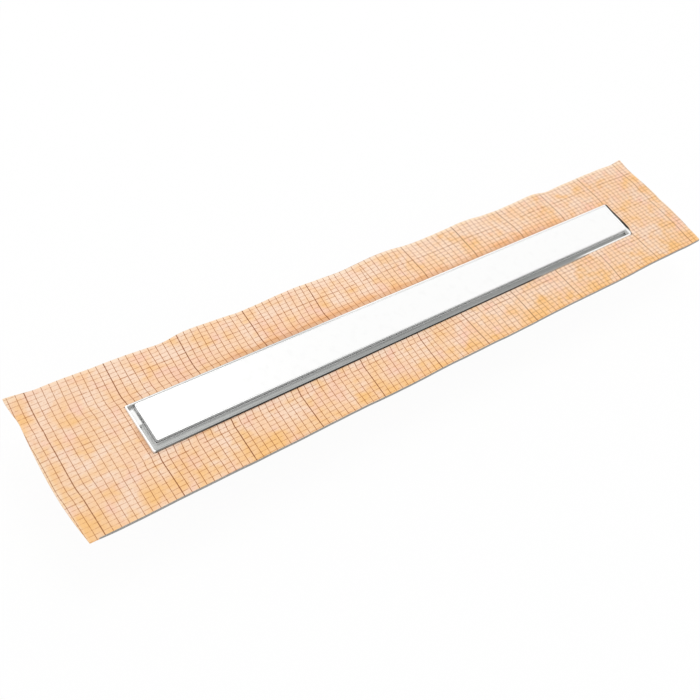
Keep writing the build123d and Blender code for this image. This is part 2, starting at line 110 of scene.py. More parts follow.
class CollarSettings(bpy.types.PropertyGroup):
    """Sealing collar: how the loose sheet lies, and the grid printed on it."""

    cell: length("Mesh cell", "Side of one cell of the sheet's mesh", 0.004)
    window_left: length("Window left", "Left end of the window, tight to the rim", -0.45005)
    window_right: length("Window right", "Right end of the window, clear of the bead", 0.4535)
    window_near: length("Window near", "Near side of the window, clear of the bead", -0.0349)
    window_far: length("Window far", "Far side of the window, tight to the rim", 0.03405)
    window_tight: length("Tight side", "Near side of the window where there is no bead", -0.03405)
    bead_stop: length("Bead stop", "Where the bead along the near side ends", 0.33)
    bond_edge: length("Bond edge", "How far inside the flange the bond ends", 0.0015)
    lip_height: length("Lip height", "How far the near edge turns down", 0.0032)
    lip_reach: length("Lip reach", "Width of the near edge that turns down", 0.001)
    wave_height: length("Far wave height", "Rise and fall of the far edge", 0.0034)
    wave_length: length("Far wave length", "From crest to crest along the far edge", 0.163)
    near_wave_height: length("Near wave height", "Rise and fall of the near edge", 0.0011)
    near_wave_length: length("Near wave length", "From crest to crest along the near edge", 0.215)
    end_wave_height: length("End wave height", "Rise and fall of the left end", 0.0016)
    end_wave_length: length("End wave length", "From crest to crest across the left end", 0.125)
    crumple_height: length("Crumple height", "Height of the soft dents in the loose sheet", 0.0016)
    crumple_size: length("Crumple size", "Width of one soft dent", 0.055)
    left_flick: length("Left flick", "Upturn of the far left corner", 0.003)
    right_flick: length("Right flick", "Upturn of the far right corner", 0.0012)
    corner_reach: length("Corner reach", "Size of a corner that is pulled out of square", 0.036)
    far_left: corner("Far left corner", (-0.0064, 0.0034))
    far_right: corner("Far right corner", (0.0005, 0.0035))
    near_left: corner("Near left corner", (0.0, 0.0))
    near_right: corner("Near right corner", (0.0015, 0.0))
    end_bow: length("End bow", "How far the left end bows out at its middle", 0.0065)
    left_dent: length("Left dent", "Depth of the dent in the far part of the left end", 0.0013)
    right_dent: length("Right dent", "Depth of the dent in the far part of the right end", 0.0037)
    dent_place: length("Dent place", "Where the two dents lie", 0.07)
    dent_size: length("Dent size", "Half the width of a dent", 0.032)
    square_from: length("Square from", "How far before the middle the right end stops slanting", 0.035)
    tuck_left: length("Left tuck", "Where the left part of the far edge is tucked in", -0.364)
    tuck_right: length("Right tuck", "Where the right part of the far edge is tucked in", 0.366)
    tuck_depth: length("Tuck depth", "How far a tuck draws the edge in", 0.0022)
    tuck_drop: length("Tuck drop", "How far a tuck hangs down", 0.0012)
    tuck_size: length("Tuck size", "Half the width of a tuck", 0.02)
    near_taper: length("Near taper", "How much further in the near edge lies at the right", 0.0039)
    near_reach: length("Near reach", "How far the near edge lies outside the flat size at the left", 0.0008)
    far_trim: length("Far trim", "How much further in the left part of the far edge lies", 0.0022)
    far_reach: length("Far reach", "How far the far edge lies outside the flat size", 0.0009)
    window_rise: length("Window rise", "How far the sheet climbs beside the near side of the rim", 0.0008)
    askew: number("Askew", "Slope of the right end and of the print past its joint", 0.076)
    joint: length("Print joint", "Where one run of the print ends and a second, askew one starts", -0.0275)
    far_joint: length("Far joint", "The same place on the far flap", -0.0365)
    cross_pitch: length("Cross pitch", "Spacing of the printed lines that run across", 0.0101)
    cross_first: length("First cross line", "Place of the leftmost bold line", -0.5456)
    long_pitch: length("Long pitch", "Spacing of the printed lines that run along", 0.00595)
    long_first: length("First long line", "Place of the middle bold line", 0.0115)
    cells: IntProperty(name="Cells", description="Fine cells from one bold line to the next", default=10)
    fine_line: length("Fine line", "Width of a fine line", 0.00095)
    bold_line: length("Bold line", "Width of a bold line", 0.00135)
    line_soft: length("Line edge", "Width of a line's soft edge", 0.0003)
    line_wander: length("Line wander", "How far the printed lines stray", 0.0016)
    flap_pull: number("Flap pull", "Slope of the cross lines on the far flap", 0.07)
    flap_from: length("Flap from", "Where the far flap starts", 0.052)
    rim_pull: length("Rim pull", "How far the cross lines are drawn aside beside the rim", 0.0012)
    rim_near: length("Rim zone start", "Distance from the middle where that pull is full", 0.036)
    rim_far: length("Rim zone end", "Distance from the middle where that pull ends", 0.047)
    peach: colour("Peach", "Main colour of the fleece", (0.985, 0.675, 0.45))
    amber: colour("Amber", "Warm patches of the fleece", (0.972, 0.58, 0.24))
    blush: colour("Blush", "Pale patches of the fleece", (0.98, 0.74, 0.57))
    rose: colour("Rose", "Pink patches of the fleece", (0.97, 0.63, 0.5))
    flush: colour("Flush", "Fleece beyond the rim, deepened by the bond below it", (0.92, 0.48, 0.21))
    frayed: colour("Frayed", "Pale fibres of the outer edges", (0.985, 0.82, 0.63))
    shade: colour("Fibre shade", "Dark side of the fibres", (0.8, 0.46, 0.26))
    ink: colour("Ink", "Fine printed lines that run across", (0.36, 0.11, 0.025))
    bold_ink: colour("Bold ink", "Bold printed lines that run across", (0.275, 0.088, 0.028))
    pale_ink: colour("Pale ink", "Printed lines that run along", (0.44, 0.155, 0.045))
    # Painted shadow: the darker line that the rim casts on the fleece along the far side and the left end of
    # the window.
    rim_shadow: colour("Stain", "Fleece soaked by the bond along the window", (0.62, 0.33, 0.17))
    smear: colour("Smear", "Bond smeared on the fleece at the right end", (0.02, 0.019, 0.018))
    smear_widest: length("Smear widest", "Where across the channel the smear is widest", -0.018)
    smear_near: length("Smear near", "How far the smear reaches at its widest place", 0.0064)
    smear_far: length("Smear far", "How far the smear reaches at the far side", 0.0028)
    # The near edge is painted grey with lighter specks: a painted contact shadow under the sheet's edge.
    core: colour("Core", "Near edge, where the membrane shows", (0.3, 0.295, 0.28))
    edge_shadow_light: colour("Core light", "Lighter specks of the near edge", (0.44, 0.43, 0.41))


class SteelSettings(bpy.types.PropertyGroup):
    """Folded channel, tray and brackets."""

    recess_end: length("Recess end", "Half the length inside the rim", 0.4472)
    recess_side: length("Recess side", "Half the width inside the rim", 0.0313)
    # Above rim_level the rim's ends, its far side and, past bright_from, its near side are painted with the
    # bright colour: a painted reflection.
    rim_level: length("Rim level", "Height above which the steel is the bright rim", 0.0795)
    bright_from: length("Bright from", "Where the near side of the rim turns bright", 0.295)
    grain: length("Grain", "Width of one brush mark", 0.0005)
    grain_length: length("Grain length", "Length of one brush mark", 0.09)
    light: colour("Light grain", "Crests of the brush marks", (0.37, 0.375, 0.368))
    dark: colour("Dark grain", "Hollows of the brush marks", (0.264, 0.269, 0.263))
    # The bright colour is a painted highlight for the light that the rim's hem reflects, not a finish of its
    # own.
    bright: colour("Bright rim", "Bright satin of the rim's ends and far side", (0.955, 0.955, 0.945))
    tray_light: colour("Tray light grain", "Crests of the brush marks on the tray", (0.66, 0.665, 0.67))
    tray_dark: colour("Tray dark grain", "Hollows of the brush marks on the tray", (0.52, 0.525, 0.53))
    coat_level: length("Coat level", "Height above which the tray is coated white like the panel", 0.0796)
    lip_level: length("Lip level", "Height above which the coat is full everywhere", 0.0853)
    thin_coat: share("Thin coat", "How much of the coat is left on the left part of the tray's walls", 0.68)
    thin_coat_from: length("Thin coat from", "Where the coat on the walls is thinnest", -0.36)
    thin_coat_to: length("Thin coat to", "Where the coat on the walls is full", 0.02)
    ledge_level: length("Ledge level", "Height of the ledge inside the rim", 0.0788)
    # The ledge beside the tray and in the far left corner is painted lighter: painted light that lifts the
    # shade under the tray's edge.
    lit_ledge_reach: length("Rubbed reach", "How far the ledge is rubbed bright beside the tray", 0.0026)
    lit_ledge_corner: length("Rubbed corner", "How far it is rubbed bright in the far left corner", 0.014)
    metal: share("Metal", "How far the brushed steel mirrors what is round it", 0.75)
    rim_metal: share("Rim metal", "How far the bright rim mirrors what is round it", 0.2)
    roughness: share("Roughness", "Roughness of the brushed steel", 0.42)
    rim_roughness: share("Rim roughness", "Roughness of the bright rim", 0.3)
    weld_radius: length("Weld radius", "Half the width of a weld bead", 0.0013)
    weld_ripple: length("Weld ripple", "Length of one ripple of a weld bead", 0.0011)
    bracket_length: length("Bracket length", "Length of one leg bracket along the channel", 0.03)
    trough_side: length("Trough side", "Half the outer width of the trough", 0.0235)


class CoverSettings(bpy.types.PropertyGroup):
    """White panel in the tray, and the tape that shows beside the rim."""

    white: colour("White", "The panel's colour", (0.95, 0.95, 0.945))
    dust: colour("Dust", "Faint dust on the panel", (0.925, 0.925, 0.92))
    roughness: share("Roughness", "Roughness of the panel", 0.34)
    butyl: colour("Butyl", "The bond tape's colour", (0.01, 0.01, 0.011))
    butyl_light: colour("Butyl bloom", "Paler bloom on the bond tape", (0.03, 0.03, 0.032))
    butyl_grain: length("Butyl grain", "Size of the dents in the tape's bead", 0.0018)
    # Painted light: the near bead is painted lighter towards both ends, where its dark line gives way to the
    # rim's painted highlight.
    tail: colour("Tail", "Thin end of the near bead, where fleece and steel show through", (0.5, 0.47, 0.44))
    lit_bead_from: length("Tail from", "Where the near bead thins out", 0.2)
    lit_bead_to: length("Tail to", "Where the near bead is a mere film", 0.235)
    # Painted highlight: the inner edge of the right bead takes the rim's bright colour, which carries the
    # rim's reflection onto the bead.
    glint: colour("Film", "Inner edge of the right bead, wiped off the bright rim", (0.86, 0.86, 0.85))
    glint_edge: length("Film edge", "How far the right bead is wiped off", 0.4508)


class MouldingSettings(bpy.types.PropertyGroup):
    """Moulded trap pieces and rubber seals."""

    grey: colour("Grey", "Trap inserts, nut and cover feet", (0.2, 0.21, 0.22))
    white: colour("White", "Trap housing, outlet spigot and spacer", (0.92, 0.92, 0.905))
    rubber: colour("Rubber", "Seals and foot pads", (0.022, 0.022, 0.023))
    fine_grain: length("Moulding grain", "Size of the moulded grain", 0.0007)
    rubber_grain: length("Rubber grain", "Size of the rubber's grain", 0.0011)
    variation: share("Variation", "How far the colour of a moulding varies", 0.08)


class LegSettings(bpy.types.PropertyGroup):
    """Levelling bolts and nuts."""

    diameter: length("Bolt diameter", "Outer diameter of the thread", 0.008)
    pitch: length("Thread pitch", "Rise of the thread in one turn", 0.00125)
    depth: length("Thread depth", "Depth of the thread", 0.00062)
    lead_in: length("Lead-in", "Length of the tapered end", 0.0012)
    socket: length("Key socket", "Width of the hexagonal socket in a bolt's top", 0.004)
    socket_depth: length("Socket depth", "Depth of the hexagonal socket", 0.0035)
    segments: IntProperty(name="Segments", description="Sides of a bolt's round section", default=28)
    steps: IntProperty(name="Steps", description="Rings in one turn of the thread", default=6)
    zinc_light: colour("Zinc light", "Bright patches of the zinc", (0.72, 0.73, 0.74))
    zinc_dark: colour("Zinc dark", "Dull patches of the zinc", (0.5, 0.51, 0.53))


class StageSettings(bpy.types.PropertyGroup):
    """Floor, light and camera."""

    floor_size: length("Floor size", "Side of the floor", 24.0)
    floor_white: colour("Floor", "Colour of the floor", (0.95, 0.95, 0.95))
    floor_lift: share("Floor lift", "How far the floor is washed out to white", 0.95)
    ambient: number("Ambient", "Strength of the light from all round", 0.78)
    key_power: number("Key", "Power of the soft lamp", 26.0, unit="POWER")
    key_size: length("Key size", "Side of the soft lamp", 1.6)
    key_place: vector("Key place", "Where the soft lamp stands", (0.3, 1.1, 2.9), unit="LENGTH")
    lens: number("Lens", "Focal length in millimetres", 51.6136, unit="CAMERA")
    sensor: number("Sensor", "Width of the picture area", 36.0, unit="CAMERA")
    camera_place: vector(
        "Camera place",
        "Where the camera stands",
        (-0.872467, -0.432161, 1.105112),
        unit="LENGTH",
        precision=6,
    )
    camera_turn: vector(
        "Camera turn",
        "How the camera is turned",
        (0.621497, -0.318328, -0.641788),
        subtype="EULER",
        unit="ROTATION",
        precision=6,
    )


class Zone(NamedTuple):
    """A stretch over which something goes smoothly from low, at its start, to high, at its end."""

    start: float
    end: float
    low: float = 0.0
    high: float = 1.0


class Patches(NamedTuple):
    """Patches of noise: their size, the noise at which they start and are full, and how strong they are."""

    size: float
    start: float
    full: float
    low: float = 0.0
    high: float = 1.0
    detail: float = 2.0
    shift: tuple = (0.0, 0.0, 0.0)
    stretch: tuple = (1.0, 1.0, 1.0)


def add_node(tree, kind, inputs, **settings):
    """Add a node; each input is a value, or the socket that feeds it."""
    node = tree.nodes.new(kind)
    for name, value in settings.items():
        setattr(node, name, value)
    for key, value in inputs.items():
        if isinstance(value, bpy.types.NodeSocket):
            tree.links.new(value, node.inputs[key])
        else:
            node.inputs[key].default_value = value
    return node


class Finish:
    """A material in the making: a Principled surface and the nodes that feed it."""

    def __init__(self, name, surface):
        self.material = bpy.data.materials.new(name)
        self.material.use_nodes = True
        self.tree = self.material.node_tree
        self.surface = self.tree.nodes["Principled BSDF"]
        for socket, value in surface.items():
            self.surface.inputs[socket].default_value = value
        self.place = self.add("ShaderNodeTexCoord", {}).outputs["Object"]
        self.x, self.y, self.z = self.add("ShaderNodeSeparateXYZ", {0: self.place}).outputs

    def add(self, kind, inputs, **settings):
        """Add a node to the material."""
        return add_node(self.tree, kind, inputs, **settings)

    def math(self, operation, result, *others):
        """One operation, taken with each further value in turn."""
        for other in others:
            result = self.add("ShaderNodeMath", {0: result, 1: other}, operation=operation).outputs[0]
        return result

    def plus(self, *values):
        """Values added up."""
        return self.math("ADD", *values)

    def minus(self, value, taken):
        """A value less what is taken off it."""
        return self.math("SUBTRACT", value, taken)

    def times(self, *values):
        """Values multiplied."""
        return self.math("MULTIPLY", *values)

    def largest(self, *values):
        """The largest of some values."""
        return self.math("MAXIMUM", *values)

    def above(self, value, limit):
        """1 where a value is above a limit, else 0."""
        return self.math("GREATER_THAN", value, limit)

    def below(self, value, limit):
        """1 where a value is below a limit, else 0."""
        return self.math("LESS_THAN", value, limit)

    def away(self, value, place=0.0):
        """Distance of a value from a place."""
        gap = self.minus(value, place)
        return self.add("ShaderNodeMath", {0: gap}, operation="ABSOLUTE").outputs[0]

    def fade(self, value, start, end, low=0.0, high=1.0):
        """Go smoothly from low, where value is at start, to high, where it is at end."""
        inputs = {"Value": value, "From Min": start, "From Max": end, "To Min": low, "To Max": high}
        return self.add("ShaderNodeMapRange", inputs, interpolation_type="SMOOTHSTEP").outputs[0]

    def blend(self, factor, first, second):
        """Blend two values."""
        return self.add("ShaderNodeMix", {0: factor, 2: first, 3: second}).outputs[0]

    def mix(self, factor, first, second):
        """Blend two colours."""
        inputs = {0: factor, 6: first, 7: second}
        return self.add("ShaderNodeMix", inputs, data_type="RGBA").outputs[2]

    def noise(self, size, detail=2.0, shift=(0.0, 0.0, 0.0), stretch=(1.0, 1.0, 1.0)):
        """Soft noise with features of about this size, drawn out along an axis where stretch is below 1."""
        moved = self.add("ShaderNodeMapping", {"Vector": self.place, "Location": shift, "Scale": stretch})
        inputs = {"Vector": moved.outputs[0], "Scale": 1 / size, "Detail": detail}
        return self.add("ShaderNodeTexNoise", inputs).outputs[0]

    def patches(self, kind, added=()):
        """Patches of one kind, with more of them where something is added to their noise."""
        value = self.plus(self.noise(kind.size, kind.detail, kind.shift, kind.stretch), *added)
        return self.fade(value, kind.start, kind.full, kind.low, kind.high)

    def feed(self, socket, value):
        """Link a value into the surface."""
        self.tree.links.new(value, self.surface.inputs[socket])

    def bump(self, height, depth):
        """Raise the surface by a height of 0 to 1 times depth."""
        inputs = {"Height": height, "Distance": depth, "Strength": 1.0}
        self.feed("Normal", self.add("ShaderNodeBump", inputs).outputs[0])

    def grain(self, size, depth, detail=2.0):
        """Raise the surface with noise of about this size."""
        self.bump(self.noise(size, detail), depth)


def dress(names, material):
    """Give CAD nodes a finish."""
    for name in names:
        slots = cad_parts[name].data.materials
        slots.clear()
        slots.append(material)


def ease(value):
    """0 below 0, 1 above 1, and smooth between."""
    held = min(1.0, max(0.0, value))
    return held * held * (3 - 2 * held)


def between(value, zone):
    """What a zone gives at a place."""
    return zone.low + (zone.high - zone.low) * ease((value - zone.start) / (zone.end - zone.start))


def put_in_scene(name, data):
    """Put a mesh, a lamp or a camera in the scene."""
    thing = bpy.data.objects.new(name, data)
    bpy.context.scene.collection.objects.link(thing)
    return thing


def new_piece(name, mesh, materials):
    """Put a mesh in the scene as a piece that rides on the drain."""
    piece = put_in_scene(name, mesh)
    for material in materials:
        mesh.materials.append(material)
    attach(piece, "root")
    return piece


def bridge(build, rings):
    """Join each ring of points to the next with faces."""
    for ring, following in zip(rings, rings[1:]):
        for m, point in enumerate(ring):
            n = (m + 1) % len(ring)
            build.faces.new((point, ring[n], following[n], following[m]))


def finish_mesh(name, build, sharp_angle):
    """Turn a bmesh into a smooth-shaded mesh with sharp edges past an angle."""
    bmesh.ops.recalc_face_normals(build, faces=build.faces)
    for face in build.faces:
        face.smooth = True
    for edge in build.edges:
        edge.smooth = len(edge.link_faces) == 2 and edge.calc_face_angle() < sharp_angle
    mesh = bpy.data.meshes.new(name)
    build.to_mesh(mesh)
    build.free()
    return mesh


# Sealing collar


# Mottling of the fleece, and the stretches along X or Y where there is more of it
WARM_PATCHES = Patches(0.019, 0.46, 0.92, shift=(0.4, 0.1, 0.0), stretch=(0.7, 1.0, 1.0))
PALE_PATCHES = Patches(0.024, 0.44, 0.66, detail=2.5, shift=(1.7, 0.9, 0.0), stretch=(0.8, 1.0, 1.0))
ROSY_PATCHES = Patches(0.03, 0.47, 0.68, high=0.75, shift=(4.1, 2.3, 0.0))
FIBRES = Patches(0.0022, 0.48, 0.74, high=0.42, detail=5.0)
WARM_NEAR_EDGE = Zone(-0.094, -0.046, 0.2, 0.0)
WARM_LEFT_END = Zone(-0.565, -0.53, 0.15, 0.03)
WARM_RIGHT_END = Zone(0.45, 0.52, 0.0, 0.07)
PALE_FAR_EDGE = Zone(0.06, 0.085, 0.0, 0.09)
# Painted light on the strip beside the near rim, where the sheet climbs to the rim
LIT_RIM_LINE = -0.036
LIT_BESIDE_RIM = Zone(0.0, 0.009, 0.13, 0.0)
FRAYED_EDGE = Zone(-0.007, 0.0, 0.0, 0.55)

# What the bond does to the fleece, the soaked band beyond the rim and the smear, and a painted shadow on the
# fleece beside the rim past the window
SOAKED_PATCHES = Patches(
    0.016, 0.36, 0.6, low=0.25, high=1.1, shift=(0.0, 0.0, 4.0), stretch=(0.4, 1.0, 1.0)
)
BAND_LEFT = Zone(-0.36, -0.24, 0.1, 1.0)
BAND_RIGHT = Zone(0.28, 0.4, 1.0, 0.2)
BAND_INNER = Zone(0.0015, 0.006, 0.2, 0.75)
BAND_OUTER = Zone(0.006, 0.021, 1.0, 0.0)
# Painted shadow beside the rim along the far side and the left end of the window
FAR_RIM_SHADOW = Zone(0.003, 0.0098, 0.5, 0.0)
LEFT_RIM_SHADOW = Zone(0.002, 0.0065, 0.55, 0.0)
LEFT_RIM_SHADOW_PLACE = -0.016
LEFT_RIM_SHADOW_SIDES = Zone(0.01, 0.028, 1.0, 0.0)
SMEAR_EDGE = Zone(-0.0004, 0.0004, 1.0, 0.0)
SMEAR_START = 0.1
WINDOW_SLACK = 0.001

# How the printed lines stray from an even grid
NOISE_MIDDLE = 0.5
CROSS_WANDER = 0.07
CROSS_WANDER_SHIFT = (0.0, 3.0, 0.0)
LONG_WANDER = 0.06
LONG_WANDER_SHIFT = (5.0, 0.0, 0.0)
RIM_PULL_START = Zone(-0.55, -0.5, 0.1, 1.0)
FIRST_RUN_DRIFT = Zone(-0.27, -0.02, -0.0013, 0.0047)
OUTER_DRIFT = Zone(0.03, 0.048, 0.0, 0.0014)
OUTER_DRIFT_END = Zone(-0.54, -0.47, 1.0, 0.0)
SECOND_FLAP_START = Zone(0.08, 0.2)
SECOND_RUN_DRIFT = Zone(-0.08, 0.28, -0.0027, 0.0042)
SECOND_RUN_END = Zone(0.28, 0.58, 0.0, 0.0068)
LONG_DRIFT = Zone(-0.5, 0.3, -0.0014, 0.001)
NEAR_HALF = Zone(-0.04, 0.03, 1.0, 0.0)
NEAR_DRIFT = Zone(-0.46, -0.3, 0.0002, 0.002)
FAR_EDGE_DRIFT = Zone(0.073, 0.095, 0.0, 0.0014)

# How strong the ink is
FINE_CROSS_INK = 0.88
FINE_LONG_INK = 0.7
BOLD_LONG_INK = 0.85
WORN_INK = Patches(0.0035, 0.3, 0.5, low=0.55, detail=3.0, shift=(2.0, 0.0, 0.0))
BROKEN_INK = Patches(0.0045, 0.35, 0.6, low=0.25, detail=3.0, shift=(0.0, 7.0, 0.0))
FAINT_LEFT_END = Zone(-0.5, -0.43, 0.8, 1.0)
SECOND_RUN_INK = Zone(-0.05, 0.25, 0.85, 1.05)
BOLD_CROSS_INK = Zone(-0.44, -0.34, 0.85, 1.0)

# Surface of the fleece, and the specks in the painted contact shadow on its near edge
FLEECE_SURFACE = {"Roughness": 0.93, "Sheen Weight": 0.1, "Specular IOR Level": 0.2}
FLEECE_NAP = {"size": 0.0014, "depth": 0.0004, "detail": 4.0}
EDGE_SHADOW_SURFACE = {"Roughness": 0.8}
EDGE_SHADOW_SPECKS = Patches(0.0012, 0.4, 0.65)


def fleece_colour(finish, s):
    """Mottled fleece: warmer at the near edge and the ends, paler at the far edge, with painted light on the
    strip beside the near rim.
    """
    warmer = (
        finish.fade(finish.y, *WARM_NEAR_EDGE),
        finish.fade(finish.x, *WARM_RIGHT_END),
        finish.fade(finish.x, *WARM_LEFT_END),
    )
    paler = (
        finish.fade(finish.y, *PALE_FAR_EDGE),
        finish.fade(finish.away(finish.y, LIT_RIM_LINE), *LIT_BESIDE_RIM),
    )
    toned = finish.mix(finish.patches(ROSY_PATCHES), s.peach[:], s.rose[:])
    toned = finish.mix(finish.patches(PALE_PATCHES, paler), toned, s.blush[:])
    toned = finish.mix(finish.patches(WARM_PATCHES, warmer), toned, s.amber[:])
    return finish.mix(finish.patches(FIBRES), toned, s.shade[:])


def frayed_edges(finish, s, slanted, base):
    """The fleece's colour with pale fibres along its far edge and its two ends."""
    outside = finish.largest(
        finish.minus(finish.y, collar_high.y),
        finish.minus(slanted, collar_high.x),
        finish.minus(collar_low.x, finish.x),
    )
    return finish.mix(finish.fade(outside, *FRAYED_EDGE), base, s.frayed[:])


def soaked_and_shaded_fleece(finish, s, base):
    """The fleece's colour with a deep soaked band beyond the rim and a painted shadow beside the rim along
    the far side and the left end of the window.
    """
    past_far = finish.minus(finish.y, s.window_far)
    abreast = finish.times(
        finish.fade(finish.x, *BAND_LEFT),
        finish.fade(finish.x, *BAND_RIGHT),
        finish.above(past_far, -WINDOW_SLACK),
    )
    band = finish.times(
        finish.fade(past_far, *BAND_INNER),
        finish.patches(SOAKED_PATCHES),
        finish.fade(past_far, *BAND_OUTER),
        abreast,
    )
    # Painted shadow along the far side and the left end of the window
    far = finish.times(finish.fade(past_far, *FAR_RIM_SHADOW), abreast)
    past_left = finish.minus(s.window_left, finish.x)
    left = finish.times(
        finish.fade(past_left, *LEFT_RIM_SHADOW),
        finish.above(past_left, -WINDOW_SLACK),
        finish.fade(finish.away(finish.y, LEFT_RIM_SHADOW_PLACE), *LEFT_RIM_SHADOW_SIDES),
    )
    soaked = finish.mix(band, base, s.flush[:])
    return finish.mix(finish.largest(far, left), soaked, s.rim_shadow[:])


def wander(finish, s, size, shift):
    """How far printed lines stray at random to one side or the other."""
    aside = finish.minus(finish.noise(size, shift=shift), NOISE_MIDDLE)
    return finish.times(aside, s.line_wander)


def cross_stray(finish, s, joint):
    """How far the cross lines lie to the right of an even print, on each side of the joint."""
    off_middle = finish.away(finish.y)
    past_flap = finish.largest(finish.minus(finish.y, s.flap_from), 0.0)
    flap = finish.times(past_flap, s.flap_pull)
    rim = finish.fade(off_middle, s.rim_near, s.rim_far, s.rim_pull, 0.0)
    rim = finish.times(rim, finish.fade(finish.x, *RIM_PULL_START))
    outer = finish.fade(off_middle, *OUTER_DRIFT)
    outer = finish.times(outer, finish.fade(finish.x, *OUTER_DRIFT_END))
    first_run = finish.plus(flap, rim, finish.fade(finish.x, *FIRST_RUN_DRIFT), outer)
    flap = finish.times(flap, finish.fade(finish.x, *SECOND_FLAP_START))
    slope = finish.times(finish.y, s.askew)
    drawn = finish.plus(flap, rim, slope, finish.fade(finish.x, *SECOND_RUN_END))
    second_run = finish.minus(finish.fade(finish.x, *SECOND_RUN_DRIFT), drawn)
    stray = finish.blend(joint, first_run, second_run)
    return finish.plus(stray, wander(finish, s, CROSS_WANDER, CROSS_WANDER_SHIFT))


def long_stray(finish, s):
    """How far the long lines lie beyond an even print."""
    near = finish.times(finish.fade(finish.y, *NEAR_HALF), finish.fade(finish.x, *NEAR_DRIFT))
    stray = finish.plus(finish.fade(finish.x, *LONG_DRIFT), near)
    stray = finish.minus(stray, finish.fade(finish.y, *FAR_EDGE_DRIFT))
    return finish.plus(stray, wander(finish, s, LONG_WANDER, LONG_WANDER_SHIFT))


def printed_lines(finish, s, place, pitch, first, width):
    """1 on evenly spaced lines, 0 between them."""
    distance = finish.math("PINGPONG", finish.minus(place, first), pitch / 2)
    return finish.fade(distance, (width - s.line_soft) / 2, (width + s.line_soft) / 2, 1.0, 0.0)


def printed_grid(finish, s, slanted, base):
    """The fleece's colour with a brown grid, bold at every tenth line, worn and broken in places."""
    joint_place = finish.fade(finish.y, 0.0, s.window_far, s.joint, s.far_joint)
    joint = finish.above(slanted, joint_place)
    across = finish.minus(finish.x, cross_stray(finish, s, joint))
    along = finish.minus(finish.y, long_stray(finish, s))
    one_cell_on = finish.plus(across, finish.times(joint, s.cross_pitch))
    bold_pitch = s.cells * s.cross_pitch
    fine_cross = printed_lines(finish, s, across, s.cross_pitch, s.cross_first, s.fine_line)
    bold_cross = printed_lines(finish, s, one_cell_on, bold_pitch, s.cross_first, s.bold_line)
    fine_long = printed_lines(finish, s, along, s.long_pitch, s.long_first, s.fine_line)
    bold_long = printed_lines(finish, s, along, s.cells * s.long_pitch, s.long_first, s.bold_line)
    fine_long = finish.times(fine_long, FINE_LONG_INK)
    bold_long = finish.times(bold_long, BOLD_LONG_INK)
    faint = finish.fade(finish.x, *FAINT_LEFT_END)
    worn = finish.times(finish.patches(WORN_INK), faint)
    second_run = finish.fade(finish.x, *SECOND_RUN_INK)
    broken = finish.times(finish.patches(BROKEN_INK), second_run, faint)
    long_lines = finish.times(finish.largest(fine_long, bold_long), broken)
    fine_lines = finish.times(fine_cross, FINE_CROSS_INK, worn)
    bold_lines = finish.times(bold_cross, finish.fade(finish.x, *BOLD_CROSS_INK), worn)
    printed = finish.mix(long_lines, base, s.pale_ink[:])
    printed = finish.mix(fine_lines, printed, s.ink[:])
    return finish.mix(bold_lines, printed, s.bold_ink[:])


def smeared_bond(finish, s, base):
    """The fleece's colour with the bond that is smeared on it past the right end of the window."""
    reach = finish.times(
        finish.fade(finish.y, s.smear_widest, s.window_far, s.smear_near, s.smear_far),
        finish.fade(finish.y, s.window_near, s.smear_widest, SMEAR_START, 1.0),
    )
    past_right = finish.minus(finish.x, s.window_right)
    smear = finish.times(
        finish.fade(finish.minus(past_right, reach), *SMEAR_EDGE),
        finish.above(past_right, -WINDOW_SLACK),
        finish.below(finish.away(finish.y), s.window_far),
    )
    return finish.mix(smear, base, s.smear[:])


def printed_fleece(s):
    """Top of the collar."""
    finish = Finish("collar_printed_fleece", FLEECE_SURFACE)
    slanted = finish.plus(finish.x, finish.times(finish.y, s.askew))
    toned = frayed_edges(finish, s, slanted, fleece_colour(finish, s))
    toned = printed_grid(finish, s, slanted, soaked_and_shaded_fleece(finish, s, toned))
    finish.feed("Base Color", smeared_bond(finish, s, toned))
    finish.grain(**FLEECE_NAP)
    return finish.material


def plain_fleece(s):
    """Underside of the collar."""
    finish = Finish("collar_plain_fleece", FLEECE_SURFACE)
    finish.feed("Base Color", fleece_colour(finish, s))
    finish.grain(**FLEECE_NAP)
    return finish.material


def painted_edge_shadow(s):
    """Near edge of the collar, painted grey with specks: a painted contact shadow under the sheet's
    turned-down edge.
    """
    finish = Finish("collar_edge_shadow", EDGE_SHADOW_SURFACE)
    finish.feed("Base Color", finish.mix(finish.patches(EDGE_SHADOW_SPECKS), s.core[:], s.edge_shadow_light[:]))
    return finish.material


# How the loose sheet lies: lengths in metres, phases in radians, plain shares and exponents
NEAR_WAVE_PHASE = 1.1
END_WAVE_PHASE = 0.6
CALM_LEFT = Zone(-0.43, -0.33, 0.3, 1.0)
CALM_RIGHT = Zone(0.32, 0.36, 1.0, 0.5)
FLICK_SHARPNESS = 3
CLIMB_WIDTH = 0.008
CLIMB_ENDS = 0.01
FINE_CRUMPLE = 0.5
FINE_CRUMPLE_SIZE = 0.4
BOW_LEVEL = 0.17
BOW_SHIFT = 0.15
TRIMMED_LEFT = Zone(-0.21, -0.04, 1.0, 0.0)
BEAD_RUN_OUT = 0.015
ROW_SLACK = 0.1


def tucked(x, s):
    """1 where the far edge is tucked in, 0 away from the tucks."""
    return sum(math.exp(-(((x - place) / s.tuck_size) ** 2)) for place in (s.tuck_left, s.tuck_right))


